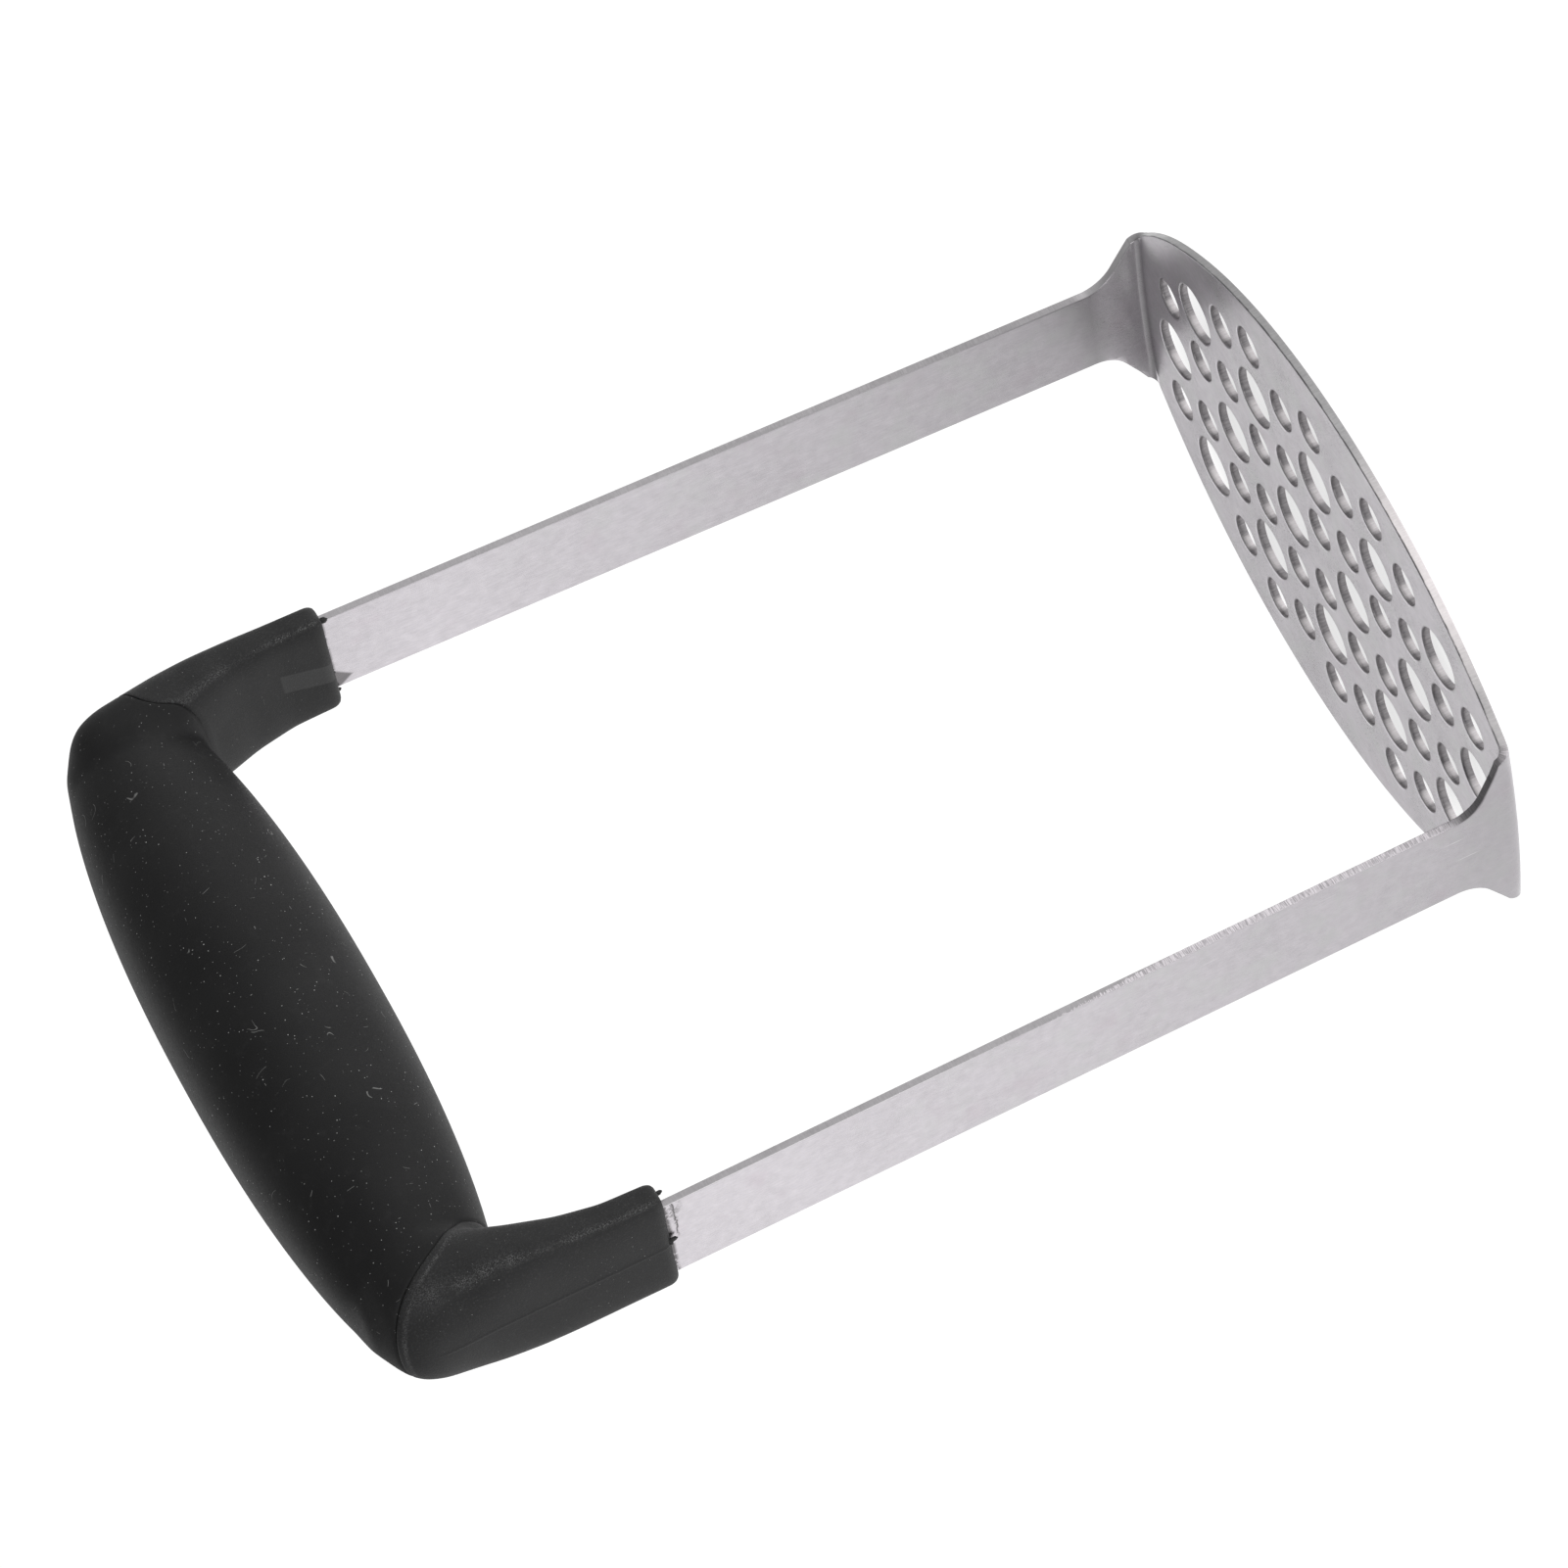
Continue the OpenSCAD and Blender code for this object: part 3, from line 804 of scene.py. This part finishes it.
def seam_cut(bm, side, keep_inner):
    """Cuts along one seam and keeps the grip's side or the leg's side, with loops for the groove."""
    shear(bm, side, 1)
    kept_side = -side if keep_inner else side
    for u in (0.14, 0.28, GROOVE_W):
        near = [f for f in bm.faces if abs(f.calc_center_median().x) < 3]
        cut_plane(bm, near, (kept_side * u, 0, 0), (1, 0, 0), 1e-4)
    cut_plane(bm, bm.faces, (0, 0, 0), (side, 0, 0), 1e-4,
              clear_outer=keep_inner, clear_inner=not keep_inner)
    shear(bm, side, -1)


def close_and_groove(bm):
    """Presses the groove in along both seams, and closes the cuts."""
    pos = np.array([v.co for v in bm.verts])
    grad = handle_gradient(pos)
    grad /= np.linalg.norm(grad, axis=1)[:, None]
    push = np.zeros(len(pos))
    for side in (1, -1):
        share = np.clip(1 - seam_distance(pos, side) / GROOVE_W, 0, 1)
        push = np.maximum(push, GROOVE_D * share ** 1.4)
    on_surface = np.abs(handle_gap(pos)) < 0.3
    for v, g, d, on in zip(bm.verts, grad, push, on_surface):
        if on and d > 0:
            v.co -= Vector(g) * d
    bmesh.ops.edgeloop_fill(bm, edges=[e for e in bm.edges if len(e.link_faces) == 1])


def finish_piece(bm, name, material):
    """Turns a finished bmesh in millimetres into a piece of the model, riding on the root."""
    caps = [f for f in bm.faces if len(f.verts) >= CAP_SIDES]
    for f in bm.faces:
        f.smooth = len(f.verts) < CAP_SIDES
    bmesh.ops.triangulate(bm, faces=caps)
    bmesh.ops.recalc_face_normals(bm, faces=bm.faces)
    pos = np.array([v.co for v in bm.verts])
    for v in bm.verts:
        v.co *= MM
    mesh = bpy.data.meshes.new(name)
    bm.to_mesh(mesh)
    bm.free()
    mesh.materials.append(material)
    obj = bpy.data.objects.new(name, mesh)
    bpy.context.scene.collection.objects.link(obj)
    mesh.set_sharp_from_angle(angle=math.radians(50))
    off = np.minimum(seam_distance(pos, 1), seam_distance(pos, -1))
    mesh.attributes.new("seam", "FLOAT", "POINT").data.foreach_set("value", off.astype(np.float32))
    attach(obj, "root")
    return obj


def moulding_line(bm, side):
    """Raises a fine line along the middle of a leg's outer face."""
    for y in LINE_STEPS:
        near = [f for f in bm.faces if abs(f.calc_center_median().y) < 2]
        cut_plane(bm, near, (0, y, 0), (0, 1, 0), 1e-4)
    for v in bm.verts:
        outer = side * v.co.x > arm_mid(v.co.z)
        if abs(v.co.y) < 0.05 and MOUTH_Z + 0.4 < v.co.z < GRIP_Z + 2 and outer:
            v.co.x += side * LINE_H


# torn bits of flash at each mouth: x from the arm's middle, y, z from the mouth, length, thickness
FLASH = {1: ((-1.3, 8.0, -0.1, 0.7, 0.3), (1.1, 0.5, -0.1, 0.75, 0.28), (1.1, 0.1, 0.2, 0.4, 0.34)),
         -1: ((0.9, 7.7, -0.3, 0.75, 0.42), (0.9, 7.4, 0.2, 0.5, 0.4), (1.1, -3.4, 0.05, 0.3, 0.3),
              (1.1, -7.2, -0.05, 0.45, 0.25))}


def add_flash(bm, side):
    """Adds the small torn bits of flash at the mouth of a leg."""
    rng = random.Random(3 + side)
    for dx, y, dz, length, thick in FLASH[side]:
        x, z = side * arm_mid(MOUTH_Z) + dx, MOUTH_Z + dz
        made = bmesh.ops.create_icosphere(bm, subdivisions=2, radius=1.0)
        for v in made["verts"]:
            bulge = 1 + rng.uniform(-0.14, 0.14)
            a, b, c = v.co * bulge
            v.co = (x + a * thick, y + b * thick * 1.3, z + c * length)


def mark_ridges(obj):
    """Says how near each point of a leg is to one of its rounded corners, where the plastic scuffs."""
    n = np.array([v.normal for v in obj.data.vertices])
    slanted = np.clip(1 - np.abs(np.abs(n[:, 1]) - 0.72) / 0.3, 0, 1)
    upright = np.clip(1 - np.abs(n[:, 2]) * 1.5, 0, 1)
    ridge = obj.data.attributes.new("ridge", "FLOAT", "POINT")
    ridge.data.foreach_set("value", (slanted * upright).astype(np.float32))


def build_grip(whole):
    bm = bmesh.new()
    bm.from_mesh(whole)
    for side in (1, -1):
        seam_cut(bm, side, True)
    close_and_groove(bm)
    return finish_piece(bm, "rubber_grip", RUBBER)


def build_leg(whole, side, name):
    bm = bmesh.new()
    bm.from_mesh(whole)
    seam_cut(bm, side, False)
    moulding_line(bm, side)
    close_and_groove(bm)
    add_flash(bm, side)
    obj = finish_piece(bm, name, PLASTIC)
    mark_ridges(obj)
    return obj


def build_handle():
    """Builds the handle's whole surface once, and takes the grip and the two legs from it."""
    points, quads = surface_net(CELL)
    whole = bpy.data.meshes.new("handle_surface")
    whole.from_pydata([tuple(p) for p in points], [], [tuple(int(i) for i in q) for q in quads])
    whole.update()
    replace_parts(build_grip(whole), "soft_grip")
    for side, name in ((1, "core_leg_right"), (-1, "core_leg_left")):
        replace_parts(build_leg(whole, side, name), "handle_core")
    bpy.data.meshes.remove(whole)


blade = build_blade()
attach(blade, "root")
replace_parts(blade, "mashing_blade")
build_handle()


# ---------------------------------------------------------------- stage, light and camera
FLOOR_HALF, FLOOR_DROP = 9.0, 0.0002     # metres
SHADE_X, SHADE_Y = 54, 36                # half sizes of the painted shadow under the plate, where the floor glows less


def build_floor():
    h = FLOOR_HALF
    mesh = bpy.data.meshes.new("floor")
    mesh.from_pydata([(-h, -h, 0), (h, -h, 0), (h, h, 0), (-h, h, 0)], [], [(0, 1, 2, 3)])
    obj = bpy.data.objects.new("floor", mesh)
    obj.location.z = cad_box[0][2] - FLOOR_DROP
    bpy.context.scene.collection.objects.link(obj)
    n = Nodes("pale_floor")
    for key, value in (("Base Color", (0.3, 0.3, 0.3, 1)), ("Roughness", 0.9),
                       ("Emission Color", (1, 1, 1, 1)), ("Specular IOR Level", 0.0)):
        n.bsdf.inputs[key].default_value = value
    length = n.add("ShaderNodeVectorMath", operation="LENGTH")
    n.link(n.coords("object", (1 / SHADE_X, 1 / SHADE_Y, 0)), length.inputs[0])
    # painted shadow: the floor glows less under the plate
    n.link(n.ramp(length.outputs["Value"], 0.7, 1.0, 0.68, 0.94), n.bsdf.inputs["Emission Strength"])
    mesh.materials.append(n.mat)


def build_world():
    """Even pale light from all round, a little weaker from above."""
    world = bpy.data.worlds.new("studio")
    bpy.context.scene.world = world
    world.use_nodes = True
    tree = world.node_tree
    back = tree.nodes["Background"]
    back.inputs["Color"].default_value = (1, 1, 1, 1)
    where = tree.nodes.new("ShaderNodeTexCoord")
    split = tree.nodes.new("ShaderNodeSeparateXYZ")
    ramp = tree.nodes.new("ShaderNodeMapRange")
    for key, value in (("From Min", 0.05), ("From Max", 0.9), ("To Min", 0.50), ("To Max", 0.24)):
        ramp.inputs[key].default_value = value
    tree.links.new(where.outputs["Generated"], split.inputs[0])
    tree.links.new(split.outputs["Z"], ramp.inputs["Value"])
    tree.links.new(ramp.outputs["Result"], back.inputs["Strength"])


def build_lamps():
    """Two soft square lamps, aimed at the middle of the object: name, place in metres, power."""
    aim = Vector((0, 0, 0.08))
    for name, place, power in (("key", (1.0, 0.3, 1.2), 3.0), ("rear", (-0.8, -1.0, 1.0), 2.7)):
        light = bpy.data.lights.new(name, "AREA")
        light.size, light.energy = 0.9, power
        obj = bpy.data.objects.new(name, light)
        obj.location = place
        obj.rotation_euler = (aim - Vector(place)).to_track_quat("-Z", "Y").to_euler()
        bpy.context.scene.collection.objects.link(obj)


def build_camera():
    """The camera at the photograph's viewing angle: place in metres, turns in degrees."""
    data = bpy.data.cameras.new("camera")
    data.sensor_width, data.lens = 36.0, 189.53
    data.clip_start, data.clip_end = 0.05, 50
    obj = bpy.data.objects.new("camera", data)
    obj.location = (0.6698, 0.8753, 0.2817)
    obj.rotation_euler = [math.radians(a) for a in (-66.311, 63.756, -16.067)]
    bpy.context.scene.collection.objects.link(obj)
    bpy.context.scene.camera = obj


build_floor()
build_world()
build_lamps()
build_camera()
bpy.context.scene.view_settings.view_transform = "Standard"
